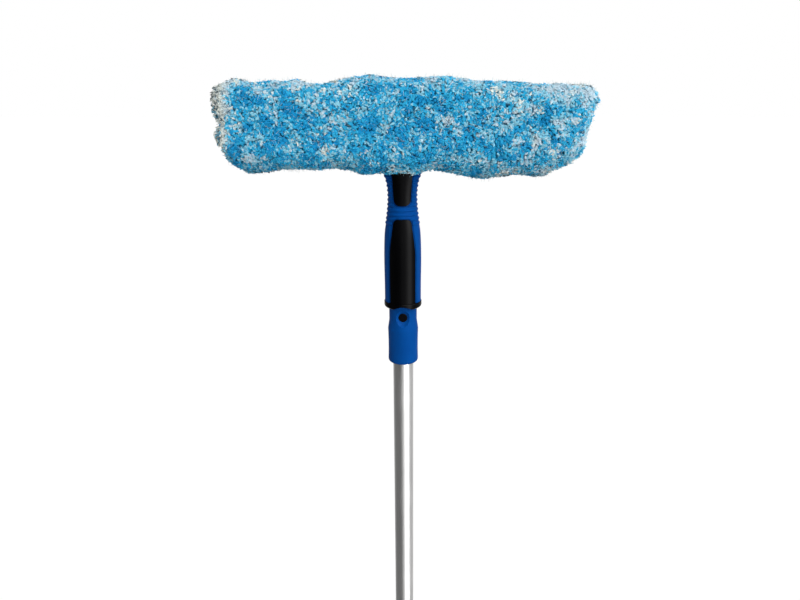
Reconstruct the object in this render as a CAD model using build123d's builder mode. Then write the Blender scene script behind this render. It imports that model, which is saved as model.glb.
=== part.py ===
from build123d import *
import math
import os

# A window scrubber clicked onto a two-piece telescopic pole.
# Sizes are millimetres. The pole stands along +Z and the tool's front faces -Y. The origin is the
# middle of the lower tube's bare stretch, where a wall clip or a clamp would hold the pole.

# Clearances
running_gap = 0.05
sliding_gap = 0.3
seat_gap = 0.15
overrun = 2.0

# Lower tube
lower_tube_diameter = 25.4
lower_tube_wall = 1.2
bare_stretch_length = 280.0

# Hand grip
hand_grip_diameter = 33.0
hand_grip_length = 170.0
hand_grip_edge_radius = 3.0
grip_groove_count = 12
grip_groove_width = 3.0
grip_groove_depth = 1.2
grip_groove_pitch = 9.0

# End cap
end_cap_flange_thickness = 5.0
end_cap_flange_edge = 1.5
end_cap_plug_length = 24.0
hang_tab_width = 22.0
hang_tab_thickness = 9.0
hang_tab_length = 24.0
hang_hole_diameter = 8.0

# Lock nut, with the threaded bush and the collet that it closes
lock_nut_length = 52.0
lock_nut_foot_diameter = 36.0
lock_nut_mouth_diameter = 30.0
lock_nut_edge_radius = 2.0
lock_nut_wall = 2.9
nut_flute_count = 12
nut_flute_diameter = 5.0
nut_flute_depth = 1.1
nut_flute_length = 34.0
bush_overlap_length = 30.0
bush_lip_height = 5.0
collet_height = 15.0
collet_root_diameter = 27.6
collet_tip_diameter = 25.0
collet_slit_width = 1.6
collet_slit_count = 6
collet_slit_height = 11.0

# Upper tube, with a rolled groove at the back that keeps it from turning
upper_tube_diameter = 22.0
upper_tube_wall = 1.0
upper_tube_bare_length = 382.7
tube_overlap_length = 100.0
groove_radius = 1.8
groove_depth = 0.9

# Guide bush on the foot of the upper tube
guide_bush_flange_length = 12.0
guide_bush_plug_length = 22.0
guide_bush_edge = 0.8

# Pole connector
connector_wide_diameter = 32.4
connector_wide_length = 38.3
connector_waist_depth = 0.35
connector_foot_radius = 3.0
connector_shoulder_length = 10.0
connector_neck_diameter = 29.5
connector_neck_length = 16.7
tube_socket_depth = 32.0
cone_foot_diameter = 27.0
cone_tip_diameter = 21.0
cone_length = 92.0
cone_tip_edge = 1.5

# Release button, catch spring and the hollow that holds them
button_diameter = 9.6
button_dome_height = 0.8
button_flange_diameter = 12.2
button_flange_thickness = 1.2
button_below_seat = 11.9
button_sink = 3.0
dish_diameter = 18.0
dish_depth = 4.2
catch_hollow_width = 12.6
catch_hollow_front = 9.0
catch_hollow_back = 8.0
catch_hollow_top = 38.0
catch_hollow_floor = 20.0
spring_strip_thickness = 0.6
spring_strip_width = 7.0
spring_leg_length = 46.0
nose_height = 7.0
nose_above_seat = 20.0
nose_reach = 2.4

# Blind rivet at the back of the connector
rivet_head_diameter = 7.0
rivet_head_height = 1.2
rivet_shank_diameter = 3.9
rivet_shank_length = 7.0
rivet_above_foot = 17.0
rivet_turn_from_back = 40.0
rivet_seat_depth = 0.6

# Scrubber handle
grip_width = 38.5
grip_depth = 36.5
handle_length = 156.3
handle_spigot_diameter = 34.0
socket_end_gap = 4.0
rib_count = 11
rib_pitch = 4.6
rib_width = 3.8
rib_crest_width = 1.3
rib_height = 0.75
rib_root = 0.4
top_rib_below_bar = 22.2
skin_steps = 30
handle_station_shares = [
    (0.000, 0.991, 0.985),
    (0.135, 0.991, 0.985),
    (0.260, 1.002, 1.000),
    (0.353, 0.996, 1.000),
    (0.425, 0.980, 0.980),
    (0.492, 0.947, 0.930),
    (0.564, 0.858, 0.860),
    (0.636, 0.787, 0.780),
    (0.710, 0.752, 0.720),
    (0.775, 0.774, 0.680),
    (0.842, 0.878, 0.650),
    (0.914, 1.150, 0.620),
    (1.000, 1.520, 0.560),
]

# Soft inlays of the handle
pad_thickness = 2.2
pad_proud = 0.35
pad_border_width = 1.2
pad_border_depth = 0.8
grip_pad_half_width = 13.0
grip_pad_length = 88.0
grip_pad_corner_radius = 5.0
grip_pad_shoulder_radius = 100.0
grip_pad_shoulder_share = 0.64
grip_pad_head_share = 0.67
neck_pad_half_width = 10.8
neck_pad_length = 40.0
neck_pad_corner_radius = 6.0
neck_pad_below_bar = 10.0
neck_pad_foot_share = 0.75

# Lip ring at the foot of the handle
lip_ring_diameter = 39.6
lip_ring_height = 6.4
lip_ring_floor = 1.6
lip_ring_foot_radius = 2.4
lip_ring_top_radius = 0.8
lip_notch_radius = 16.0
lip_notch_height = 3.8

# T-bar inside the sleeve
bar_height = 52.0
bar_thickness = 16.0
bar_wall = 2.2
bar_edge_radius = 5.0
bar_slot_length = 15.0
bar_slot_height = 5.0
bar_slot_pitch = 21.0
bar_slot_rows = 3
bar_slot_row_pitch = 11.0
bar_slots_each_side = 6
bar_slot_start = 42.0
bar_cap_thickness = 3.0
bar_cap_edge = 1.0
bar_cap_plug_length = 12.0
tongue_width = 40.0
tongue_length = 34.0
tongue_screw_spacing = 24.0
tongue_screw_height = 18.0

# Screws that hold the tongue in the bar
screw_head_diameter = 7.0
screw_head_rim = 0.3
screw_head_height = 1.8
screw_shank_diameter = 3.8
screw_length = 12.5
screw_recess_diameter = 2.6
screw_recess_depth = 1.2

# Pile sleeve
sleeve_length = 374.0
sleeve_end_padding = 15.0
sleeve_depth = 56.0
sleeve_above_bar = 17.0
sleeve_below_bar = 18.0
sleeve_slit_width = 72.0
sleeve_slit_depth = 25.0
sleeve_round_share = 0.47
sleeve_steps = 12
sleeve_end_station_shares = [
    (0.00, 0.000, 0.000, 1.00),
    (0.40, 0.000, 0.000, 1.00),
    (0.74, 0.000, 0.020, 0.98),
    (0.86, 0.060, 0.030, 0.95),
    (0.93, 0.190, 0.045, 0.90),
    (0.97, 0.330, 0.070, 0.80),
    (1.00, 0.470, 0.160, 0.52),
]

# Hook-and-loop tapes that close the sleeve beside the neck
tape_length = 60.0
tape_width = 14.0
tape_thickness = 1.3
tape_from_slit = 6.0
tape_corner_share = 0.15

# Heights of the lower pole
nut_foot = bare_stretch_length / 2
nut_top = nut_foot + lock_nut_length
lower_tube_top = nut_foot + bush_overlap_length
hand_grip_top = -bare_stretch_length / 2
lower_tube_foot = hand_grip_top - hand_grip_length
lower_tube_length = lower_tube_top - lower_tube_foot
collet_foot = lower_tube_top + bush_lip_height

# Heights of the upper pole and the tool
connector_foot = nut_top + upper_tube_bare_length
upper_tube_top = connector_foot + tube_socket_depth
upper_tube_foot = lower_tube_top - tube_overlap_length
shoulder_foot = connector_foot + connector_wide_length
neck_foot = shoulder_foot + connector_shoulder_length
handle_seat = neck_foot + connector_neck_length
bar_foot = handle_seat + handle_length
bar_middle = bar_foot + bar_height / 2
lip_ring_foot = handle_seat - lip_ring_floor
lip_ring_top = lip_ring_foot + lip_ring_height
skin_length = bar_foot - lip_ring_top
button_height = handle_seat - button_below_seat

# Lengths
bar_length = sleeve_length - 2 * sleeve_end_padding

# Radii
lower_bore_radius = lower_tube_diameter / 2 - lower_tube_wall
upper_tube_radius = upper_tube_diameter / 2
bush_radius = lock_nut_foot_diameter / 2 - lock_nut_wall
connector_wide_radius = connector_wide_diameter / 2
connector_neck_radius = connector_neck_diameter / 2
cone_foot_radius = cone_foot_diameter / 2
cone_tip_radius = cone_tip_diameter / 2
button_radius = button_diameter / 2

os.makedirs("parts", exist_ok=True)


def save(part, name):
    """Label a finished piece and write it under its own name."""
    part.label = name
    export_step(part, f"parts/{name}.step")


def ring(outer_radius, inner_radius, height, plane):
    """A plain tube standing on a plane, for use inside a part."""
    with BuildSketch(plane) as section:
        Circle(outer_radius)
        Circle(inner_radius, mode=Mode.SUBTRACT)
    extrude(section.sketch, amount=height)


def tube_section(extra, plane):
    """The upper tube's outline, grown by extra all round, with its rolled groove."""
    with BuildSketch(plane) as section:
        Circle(upper_tube_radius + extra)
        with Locations((0, upper_tube_radius + groove_radius - groove_depth)):
            Circle(groove_radius - extra, mode=Mode.SUBTRACT)
    return section.sketch


def face_plane(height, side):
    """An upright plane on the pole's axis that faces the front (side -1) or the back (side 1)."""
    return Plane(origin=(0, 0, height), x_dir=(-side, 0, 0), z_dir=(0, side, 0))


def front_plane(height):
    """An upright plane on the pole's axis that faces the front."""
    return face_plane(height, -1)


def cone_radius(height):
    """Radius of the connector's cone at a height above the handle's seat."""
    return cone_foot_radius + (cone_tip_radius - cone_foot_radius) * height / cone_length


# Lower tube
with BuildPart() as lower_tube:
    ring(lower_tube_diameter / 2, lower_bore_radius, lower_tube_length, Plane.XY.offset(lower_tube_foot))
save(lower_tube.part, "lower_tube")


# Hand grip, a rubber sleeve with finger grooves
with BuildPart() as hand_grip:
    grip_radius = hand_grip_diameter / 2
    finger_groove_radius = grip_groove_width / 2
    groove_ring_radius = grip_radius + finger_groove_radius - grip_groove_depth
    groove_foot = hand_grip_top - hand_grip_length / 2 - (grip_groove_count - 1) / 2 * grip_groove_pitch
    with BuildSketch(Plane.XY.offset(lower_tube_foot)):
        Circle(grip_radius)
    extrude(amount=hand_grip_length)
    fillet(hand_grip.edges().filter_by(GeomType.CIRCLE), hand_grip_edge_radius)
    for groove_index in range(grip_groove_count):
        groove_height = groove_foot + groove_index * grip_groove_pitch
        with Locations((0, 0, groove_height)):
            Torus(groove_ring_radius, finger_groove_radius, mode=Mode.SUBTRACT)
    with Locations((0, 0, lower_tube_foot + hand_grip_length / 2)):
        Cylinder(lower_tube_diameter / 2, hand_grip_length + overrun, mode=Mode.SUBTRACT)
save(hand_grip.part, "hand_grip")


# End cap with its hanging tab
with BuildPart() as end_cap:
    flange_foot = lower_tube_foot - end_cap_flange_thickness
    hole_height = flange_foot - hang_tab_length + hang_tab_width / 2
    with BuildSketch(Plane.XY.offset(flange_foot)):
        Circle(hand_grip_diameter / 2)
    extrude(amount=end_cap_flange_thickness)
    fillet(end_cap.edges().group_by(Axis.Z)[0], end_cap_flange_edge)
    with BuildSketch(Plane.XY.offset(lower_tube_foot)):
        Circle(lower_bore_radius)
    extrude(amount=end_cap_plug_length)
    with BuildSketch(front_plane(hole_height)):
        Circle(hang_tab_width / 2)
        with Locations((0, (flange_foot - hole_height) / 2)):
            Rectangle(hang_tab_width, flange_foot - hole_height)
    extrude(amount=hang_tab_thickness / 2, both=True)
    with Locations(front_plane(hole_height)):
        Cylinder(hang_hole_diameter / 2, hang_tab_thickness + overrun, mode=Mode.SUBTRACT)
save(end_cap.part, "end_cap")


# Threaded bush fixed on the head of the lower tube
with BuildPart() as thread_bush:
    lip_bore_radius = upper_tube_radius + sliding_gap
    ring(bush_radius, lower_tube_diameter / 2, bush_overlap_length, Plane.XY.offset(nut_foot))
    ring(bush_radius, lip_bore_radius, bush_lip_height, Plane.XY.offset(lower_tube_top))
save(thread_bush.part, "thread_bush")


# Split collet, keyed into the upper tube's groove
with BuildPart() as lock_collet:
    with Locations(Plane.XY.offset(collet_foot)):
        Cone(
            collet_root_diameter / 2,
            collet_tip_diameter / 2,
            collet_height,
            align=(Align.CENTER, Align.CENTER, Align.MIN),
        )
    extrude(
        tube_section(running_gap, Plane.XY.offset(collet_foot - overrun)),
        amount=collet_height + overrun + overrun,
        mode=Mode.SUBTRACT,
    )
    slit_foot = collet_foot + collet_height - collet_slit_height
    with BuildSketch(Plane.XY.offset(slit_foot)):
        with PolarLocations(0, collet_slit_count, start_angle=0):
            Rectangle(collet_root_diameter, collet_slit_width, align=(Align.MIN, Align.CENTER))
    extrude(amount=collet_slit_height + overrun, mode=Mode.SUBTRACT)
save(lock_collet.part, "lock_collet")


# Lock nut, fluted outside and coned inside
with BuildPart() as lock_nut:
    nut_foot_radius = lock_nut_foot_diameter / 2
    nut_mouth_radius = lock_nut_mouth_diameter / 2
    with Locations(Plane.XY.offset(nut_foot)):
        Cone(
            nut_foot_radius,
            nut_mouth_radius,
            lock_nut_length,
            align=(Align.CENTER, Align.CENTER, Align.MIN),
        )
    fillet(lock_nut.edges().filter_by(GeomType.CIRCLE), lock_nut_edge_radius)
    nut_taper = math.atan((nut_foot_radius - nut_mouth_radius) / lock_nut_length)
    flute_foot = nut_foot + (lock_nut_length - nut_flute_length) / 2
    flute_radius = nut_flute_diameter / 2
    for flute_index in range(nut_flute_count):
        flute_turn = flute_index * 360 / nut_flute_count
        outward = Vector(nut_foot_radius + flute_radius - nut_flute_depth, 0, nut_foot)
        upward = Vector(-math.sin(nut_taper), 0, math.cos(nut_taper))
        flute_plane = Plane(
            origin=outward.rotate(Axis.Z, flute_turn),
            z_dir=upward.rotate(Axis.Z, flute_turn),
        )
        with BuildSketch(flute_plane.offset(flute_foot - nut_foot)):
            Circle(flute_radius)
        extrude(amount=nut_flute_length, mode=Mode.SUBTRACT)
    with BuildSketch(Plane.XZ):
        with BuildLine():
            Polyline(
                (0, nut_foot - overrun),
                (bush_radius + running_gap, nut_foot - overrun),
                (bush_radius + running_gap, collet_foot),
                (collet_root_diameter / 2 + sliding_gap, collet_foot),
                (collet_tip_diameter / 2 + sliding_gap, collet_foot + collet_height),
                (upper_tube_radius + sliding_gap, collet_foot + collet_height),
                (upper_tube_radius + sliding_gap, nut_top + overrun),
                (0, nut_top + overrun),
                close=True,
            )
        make_face()
    revolve(axis=Axis.Z, mode=Mode.SUBTRACT)
save(lock_nut.part, "lock_nut")


# Place of the rivet that holds the connector on the upper tube
rivet_outward = Vector(0, 1, 0).rotate(Axis.Z, rivet_turn_from_back)
rivet_seat = rivet_outward * (connector_wide_radius - connector_waist_depth - rivet_seat_depth)
rivet_plane = Plane(
    origin=rivet_seat + Vector(0, 0, connector_foot + rivet_above_foot),
    z_dir=rivet_outward,
)


# Upper tube, drilled for the rivet
with BuildPart() as upper_tube:
    upper_tube_length = upper_tube_top - upper_tube_foot
    extrude(tube_section(0, Plane.XY.offset(upper_tube_foot)), amount=upper_tube_length)
    extrude(
        tube_section(-upper_tube_wall, Plane.XY.offset(upper_tube_foot)),
        amount=upper_tube_length,
        mode=Mode.SUBTRACT,
    )
    with BuildSketch(rivet_plane):
        Circle(rivet_shank_diameter / 2)
    extrude(amount=-rivet_shank_length - overrun, mode=Mode.SUBTRACT)
save(upper_tube.part, "upper_tube")


# Guide bush plugged into the foot of the upper tube
with BuildPart() as guide_bush:
    with BuildSketch(Plane.XY.offset(upper_tube_foot)):
        Circle(lower_bore_radius - running_gap)
    extrude(amount=-guide_bush_flange_length)
    chamfer(guide_bush.edges().filter_by(GeomType.CIRCLE).group_by(Axis.Z)[0], guide_bush_edge)
    extrude(
        tube_section(-upper_tube_wall, Plane.XY.offset(upper_tube_foot)),
        amount=guide_bush_plug_length,
    )
save(guide_bush.part, "guide_bush")


# Hollow for the catch spring, measured from the handle's seat
hollow_depth = catch_hollow_front + catch_hollow_back
hollow_height = catch_hollow_floor + catch_hollow_top
hollow_centre = (catch_hollow_back - catch_hollow_front) / 2


# Pole connector: collar, neck and the cone that the handle is pushed onto
with BuildPart() as pole_connector:
    with BuildSketch(Plane.XZ):
        with BuildLine():
            foot_corner = (connector_wide_radius, connector_foot)
            wide_head = (connector_wide_radius, shoulder_foot)
            waist = (connector_wide_radius - connector_waist_depth, (connector_foot + shoulder_foot) / 2)
            neck_edge = (connector_neck_radius, neck_foot)
            neck_top = (connector_neck_radius, handle_seat)
            Line((0, connector_foot), foot_corner)
            ThreePointArc(foot_corner, waist, wide_head)
            Line(wide_head, neck_edge)
            Line(neck_edge, neck_top)
            Line(neck_top, (cone_foot_radius, handle_seat))
            Line((cone_foot_radius, handle_seat), (cone_tip_radius, handle_seat + cone_length))
            Line((cone_tip_radius, handle_seat + cone_length), (0, handle_seat + cone_length))
            Line((0, handle_seat + cone_length), (0, connector_foot))
        make_face()
    revolve(axis=Axis.Z)
    fillet(pole_connector.edges().filter_by(GeomType.CIRCLE).group_by(Axis.Z)[0], connector_foot_radius)
    edge_rings = pole_connector.edges().filter_by(GeomType.CIRCLE).group_by(Axis.Z)
    fillet(edge_rings[-4] + edge_rings[-3], connector_shoulder_length / 2)
    chamfer(pole_connector.edges().filter_by(GeomType.CIRCLE).group_by(Axis.Z)[-1], cone_tip_edge)
    extrude(
        tube_section(0, Plane.XY.offset(connector_foot - overrun)),
        amount=tube_socket_depth + overrun,
        mode=Mode.SUBTRACT,
    )
    with BuildSketch(Plane.XY.offset(handle_seat - catch_hollow_floor)):
        with Locations((0, hollow_centre)):
            Rectangle(catch_hollow_width, hollow_depth)
    extrude(amount=hollow_height, mode=Mode.SUBTRACT)
    with BuildSketch(front_plane(button_height)):
        Circle(button_radius + running_gap)
    extrude(amount=connector_wide_radius, mode=Mode.SUBTRACT)
    dish_radius = dish_diameter / 2
    dish_ball = (dish_radius**2 + dish_depth**2) / (2 * dish_depth)
    with Locations((0, dish_depth - connector_neck_radius - dish_ball, button_height)):
        Sphere(dish_ball, mode=Mode.SUBTRACT)
    with BuildSketch(front_plane(handle_seat + nose_above_seat)):
        Rectangle(spring_strip_width + 2 * sliding_gap, nose_height + 2 * sliding_gap)
    extrude(amount=cone_foot_radius, mode=Mode.SUBTRACT)
    with BuildSketch(rivet_plane):
        Circle(rivet_head_diameter / 2 + seat_gap)
    extrude(amount=connector_waist_depth + rivet_seat_depth + overrun, mode=Mode.SUBTRACT)
    with BuildSketch(rivet_plane):
        Circle(rivet_shank_diameter / 2)
    extrude(amount=-rivet_shank_length, mode=Mode.SUBTRACT)
save(pole_connector.part, "pole_connector")


# Release button, domed in front, with a flange that keeps it in its hole
with BuildPart() as release_button:
    button_front = connector_neck_radius - button_sink
    flange_front = catch_hollow_front - running_gap
    with BuildSketch(front_plane(button_height).offset(flange_front)):
        Circle(button_radius)
    extrude(amount=button_front - flange_front)
    fillet(release_button.edges().group_by(Axis.Y)[0], button_dome_height)
    with BuildSketch(front_plane(button_height).offset(flange_front)):
        Circle(button_flange_diameter / 2)
    extrude(amount=-button_flange_thickness)
save(release_button.part, "release_button")


# Catch spring: a bent strip whose front leg carries the button and the nose
with BuildPart() as catch_spring:
    leg_front = flange_front - button_flange_thickness
    leg_back = catch_hollow_back - running_gap
    bend_radius = (leg_front + leg_back) / 2
    bend_inner_radius = bend_radius - spring_strip_thickness
    bend_middle = (leg_back - leg_front) / 2
    bend_height = handle_seat + catch_hollow_top - sliding_gap - bend_radius
    leg_foot = bend_height - spring_leg_length
    nose_foot = handle_seat + nose_above_seat - nose_height / 2
    nose_tip = cone_radius(nose_above_seat) + nose_reach
    with BuildSketch(Plane.YZ):
        with BuildLine():
            outer_front = (-leg_front, bend_height)
            outer_back = (leg_back, bend_height)
            inner_front = (bend_middle - bend_inner_radius, bend_height)
            inner_back = (bend_middle + bend_inner_radius, bend_height)
            ThreePointArc(outer_front, (bend_middle, bend_height + bend_radius), outer_back)
            Polyline(
                outer_back,
                (leg_back, leg_foot),
                (leg_back - spring_strip_thickness, leg_foot),
                inner_back,
            )
            ThreePointArc(inner_back, (bend_middle, bend_height + bend_inner_radius), inner_front)
            Polyline(
                inner_front,
                (spring_strip_thickness - leg_front, leg_foot),
                (-leg_front, leg_foot),
                outer_front,
            )
        make_face()
        with BuildLine():
            Polyline(
                (-leg_front, nose_foot),
                (-nose_tip, nose_foot),
                (-nose_tip, nose_foot + nose_height / 2),
                (-leg_front, nose_foot + nose_height),
                close=True,
            )
        make_face()
    extrude(amount=spring_strip_width / 2, both=True)
save(catch_spring.part, "catch_spring")


# Blind rivet through the back of the connector and into the tube
with BuildPart() as connector_rivet:
    with BuildSketch(rivet_plane):
        Circle(rivet_head_diameter / 2)
    extrude(amount=rivet_head_height)
    fillet(connector_rivet.edges().filter_by(GeomType.CIRCLE).group_by(Axis.Y)[-1], rivet_head_height / 2)
    with BuildSketch(rivet_plane):
        Circle(rivet_shank_diameter / 2)
    extrude(amount=-rivet_shank_length)
save(connector_rivet.part, "connector_rivet")


def curve_slope(rows, index, column):
    """Slope of a table's column at one of its rows."""
    before = rows[max(index - 1, 0)]
    after = rows[min(index + 1, len(rows) - 1)]
    return (after[column] - before[column]) / (after[0] - before[0])


def curve_value(rows, share, column):
    """A value of a table's column on a smooth curve through its rows."""
    index = 0
    while index < len(rows) - 2 and share > rows[index + 1][0]:
        index += 1
    lower = rows[index]
    upper = rows[index + 1]
    span = upper[0] - lower[0]
    along = (share - lower[0]) / span
    rise = along**2 * (3 - 2 * along)
    leaving = along * (1 - along) ** 2 * span * curve_slope(rows, index, column)
    arriving = along**2 * (along - 1) * span * curve_slope(rows, index + 1, column)
    return lower[column] + rise * (upper[column] - lower[column]) + leaving + arriving


def handle_section(height, inset):
    """The handle's oval outline at a height, drawn in by an inset."""
    share = (height - lip_ring_top) / skin_length
    half_width = grip_width * curve_value(handle_station_shares, share, 1) / 2
    half_depth = grip_depth * curve_value(handle_station_shares, share, 2) / 2
    with BuildSketch(Plane.XY.offset(height)) as section:
        Ellipse(half_width - inset, half_depth - inset)
    return section.sketch


def handle_skin(inset, mode=Mode.ADD):
    """The handle's outer form from the lip ring to the T-bar, drawn in by an inset."""
    heights = [lip_ring_top + skin_length * index / skin_steps for index in range(skin_steps + 1)]
    loft([handle_section(height, inset) for height in heights], ruled=True, mode=mode)


def grip_pad_outline(side, grow):
    """Outline of the long inlay, from the lip ring up to its rounded head."""
    wide = grip_pad_half_width + grow
    head = grip_pad_half_width * grip_pad_head_share + grow
    top = grip_pad_length + grow
    with BuildSketch(face_plane(lip_ring_top, side)) as outline:
        with BuildLine():
            Polyline(
                (-wide, 0),
                (wide, 0),
                (wide, grip_pad_length * grip_pad_shoulder_share),
                (head, top),
                (-head, top),
                (-wide, grip_pad_length * grip_pad_shoulder_share),
                close=True,
            )
        make_face()
        fillet(outline.vertices().group_by(Axis.Y)[1], grip_pad_shoulder_radius)
        fillet(outline.vertices().group_by(Axis.Y)[-1], grip_pad_corner_radius)
    return outline.sketch


def neck_pad_outline(side, grow):
    """Outline of the short inlay, which narrows downwards to a rounded foot."""
    wide = neck_pad_half_width + grow
    foot = neck_pad_half_width * neck_pad_foot_share + grow
    with BuildSketch(face_plane(bar_foot - neck_pad_below_bar, side)) as outline:
        with BuildLine():
            Polyline(
                (-wide, grow),
                (wide, grow),
                (foot, -neck_pad_length - grow),
                (-foot, -neck_pad_length - grow),
                close=True,
            )
        make_face()
        fillet(outline.vertices().group_by(Axis.Y)[0], neck_pad_corner_radius)
    return outline.sketch


# Soft inlays, one of each form at the front and at the back, and the pockets that hold them, each with a
# shallow border groove round its inlay
pad_pockets = []
for side_name, side in (("front", -1), ("rear", 1)):
    for pad_name, pad_outline in (("grip_pad", grip_pad_outline), ("neck_pad", neck_pad_outline)):
        with BuildPart() as pad:
            handle_skin(-pad_proud)
            handle_skin(pad_thickness, mode=Mode.SUBTRACT)
            extrude(pad_outline(side, 0), amount=grip_depth, mode=Mode.INTERSECT)
        save(pad.part, f"{side_name}_{pad_name}")
        with BuildPart() as pad_pocket:
            extrude(pad_outline(side, seat_gap), amount=grip_depth)
            handle_skin(pad_thickness + seat_gap, mode=Mode.SUBTRACT)
        with BuildPart() as pad_border:
            extrude(pad_outline(side, pad_border_width), amount=grip_depth)
            handle_skin(pad_border_depth, mode=Mode.SUBTRACT)
        pad_pockets += [pad_pocket.part, pad_border.part]


# T-bar: a hollow rail with water slots, open below for the handle's tongue
bar_inner_thickness = bar_thickness - 2 * bar_wall
tongue_thickness = bar_inner_thickness - 2 * seat_gap
rail_half_length = bar_length / 2 - bar_cap_thickness
screw_height = bar_foot + tongue_screw_height
screw_plane = Plane(origin=(0, bar_thickness / 2, screw_height), x_dir=(-1, 0, 0), z_dir=(0, 1, 0))


def screw_outline(grow, head_rise):
    """Half outline of a countersunk screw, grown all round, with its head raised by a rise."""
    with BuildSketch(Plane.XZ) as outline:
        with BuildLine():
            Polyline(
                (0, head_rise),
                (screw_head_diameter / 2 + grow, head_rise),
                (screw_head_diameter / 2 + grow, -screw_head_rim - grow),
                (screw_shank_diameter / 2 + grow, -screw_head_height - grow),
                (screw_shank_diameter / 2 + grow, -screw_length - grow),
                (0, -screw_length - grow),
                close=True,
            )
        make_face()
    return outline.sketch


with BuildPart() as screw_hole:
    revolve(screw_outline(seat_gap, overrun), axis=Axis.Z)
with BuildPart() as screw_blank:
    revolve(screw_outline(0, 0), axis=Axis.Z)
    with BuildSketch(Plane.XY):
        RegularPolygon(screw_recess_diameter / 2, 6)
    extrude(amount=-screw_recess_depth, mode=Mode.SUBTRACT)


def rail_outline(inset, plane):
    """The rail's rounded cross-section, drawn in by an inset."""
    with BuildSketch(plane) as outline:
        with Locations((0, bar_middle)):
            RectangleRounded(bar_thickness - 2 * inset, bar_height - 2 * inset, bar_edge_radius - inset)
    return outline.sketch


with BuildPart() as t_bar:
    extrude(rail_outline(0, Plane.YZ), amount=rail_half_length, both=True)
    extrude(rail_outline(bar_wall, Plane.YZ), amount=rail_half_length, both=True, mode=Mode.SUBTRACT)
    slot_centre = bar_slot_start + (bar_slots_each_side - 1) * bar_slot_pitch / 2
    with BuildSketch(front_plane(bar_middle)):
        with Locations((-slot_centre, 0), (slot_centre, 0)):
            with GridLocations(bar_slot_pitch, bar_slot_row_pitch, bar_slots_each_side, bar_slot_rows):
                SlotOverall(bar_slot_length, bar_slot_height)
    extrude(amount=bar_thickness, both=True, mode=Mode.SUBTRACT)
    with BuildSketch(Plane.XY.offset(bar_foot)):
        Rectangle(tongue_width + 2 * seat_gap, bar_inner_thickness)
    extrude(amount=bar_edge_radius, mode=Mode.SUBTRACT)
    with Locations(screw_plane):
        with GridLocations(tongue_screw_spacing, 0, 2, 1):
            add(screw_hole.part, mode=Mode.SUBTRACT)
save(t_bar.part, "t_bar")


# End caps of the T-bar
for side_name, side in (("left", -1), ("right", 1)):
    with BuildPart() as bar_cap:
        cap_plane = Plane.YZ.offset(side * rail_half_length)
        extrude(rail_outline(0, cap_plane), amount=side * bar_cap_thickness)
        fillet(bar_cap.faces().sort_by(Axis.X)[-1 if side > 0 else 0].edges(), bar_cap_edge)
        extrude(rail_outline(bar_wall + seat_gap, cap_plane), amount=-side * bar_cap_plug_length)
    save(bar_cap.part, f"{side_name}_bar_cap")


# Two countersunk screws through the rail's back wall and the tongue
with BuildPart() as neck_screws:
    with Locations(screw_plane):
        with GridLocations(tongue_screw_spacing, 0, 2, 1):
            add(screw_blank.part)
save(neck_screws.part, "neck_screws")


# Handle body: spigot, skin, ribs, tongue, tapered socket and the catch window
with BuildPart() as handle_body:
    handle_skin(0)
    with BuildSketch(Plane.XY.offset(handle_seat)):
        Circle(handle_spigot_diameter / 2)
    extrude(amount=lip_ring_top - handle_seat)
    for rib_index in range(rib_count):
        rib_middle = bar_foot - top_rib_below_bar - rib_index * rib_pitch
        rib_sections = [
            handle_section(rib_middle - rib_width / 2, rib_root),
            handle_section(rib_middle - rib_crest_width / 2, -rib_height),
            handle_section(rib_middle + rib_crest_width / 2, -rib_height),
            handle_section(rib_middle + rib_width / 2, rib_root),
        ]
        loft(rib_sections, ruled=True)
    with BuildSketch(Plane.XY.offset(bar_foot)):
        Rectangle(tongue_width, tongue_thickness)
    extrude(amount=tongue_length)
    for pocket in pad_pockets:
        add(pocket, mode=Mode.SUBTRACT)
    socket_depth = cone_length + socket_end_gap
    with Locations(Plane.XY.offset(handle_seat)):
        Cone(
            cone_radius(0) + sliding_gap,
            cone_radius(socket_depth) + sliding_gap,
            socket_depth,
            align=(Align.CENTER, Align.CENTER, Align.MIN),
            mode=Mode.SUBTRACT,
        )
    with BuildSketch(front_plane(handle_seat + nose_above_seat)):
        Rectangle(spring_strip_width + 2 * sliding_gap, nose_height + 2 * sliding_gap)
    extrude(amount=nose_tip + sliding_gap, mode=Mode.SUBTRACT)
    with Locations(screw_plane):
        with GridLocations(tongue_screw_spacing, 0, 2, 1):
            add(screw_hole.part, mode=Mode.SUBTRACT)
save(handle_body.part, "handle_body")


# Lip ring, arched in front over the release button
with BuildPart() as lip_ring:
    with BuildSketch(Plane.XY.offset(lip_ring_foot)):
        Circle(lip_ring_diameter / 2)
    extrude(amount=lip_ring_height)
    fillet(lip_ring.edges().group_by(Axis.Z)[0], lip_ring_foot_radius)
    fillet(lip_ring.edges().group_by(Axis.Z)[-1], lip_ring_top_radius)
    with BuildSketch(Plane.XY.offset(handle_seat)):
        Circle(handle_spigot_diameter / 2)
    extrude(amount=lip_ring_height, mode=Mode.SUBTRACT)
    with BuildSketch(Plane.XY.offset(lip_ring_foot)):
        Circle(connector_neck_radius + sliding_gap)
    extrude(amount=lip_ring_height, mode=Mode.SUBTRACT)
    with BuildSketch(front_plane(lip_ring_foot + lip_notch_height - lip_notch_radius)):
        Circle(lip_notch_radius)
    extrude(amount=lip_ring_diameter, mode=Mode.SUBTRACT)
save(lip_ring.part, "lip_ring")


# Pile sleeve: a closed form round the T-bar, slit below for the neck
sleeve_foot = bar_foot - sleeve_below_bar
sleeve_height = bar_height + sleeve_below_bar + sleeve_above_bar
tape_pocket_depth = 2 * tape_thickness + 3 * seat_gap
tape_middle = sleeve_slit_width / 2 + tape_from_slit + tape_length / 2


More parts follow.
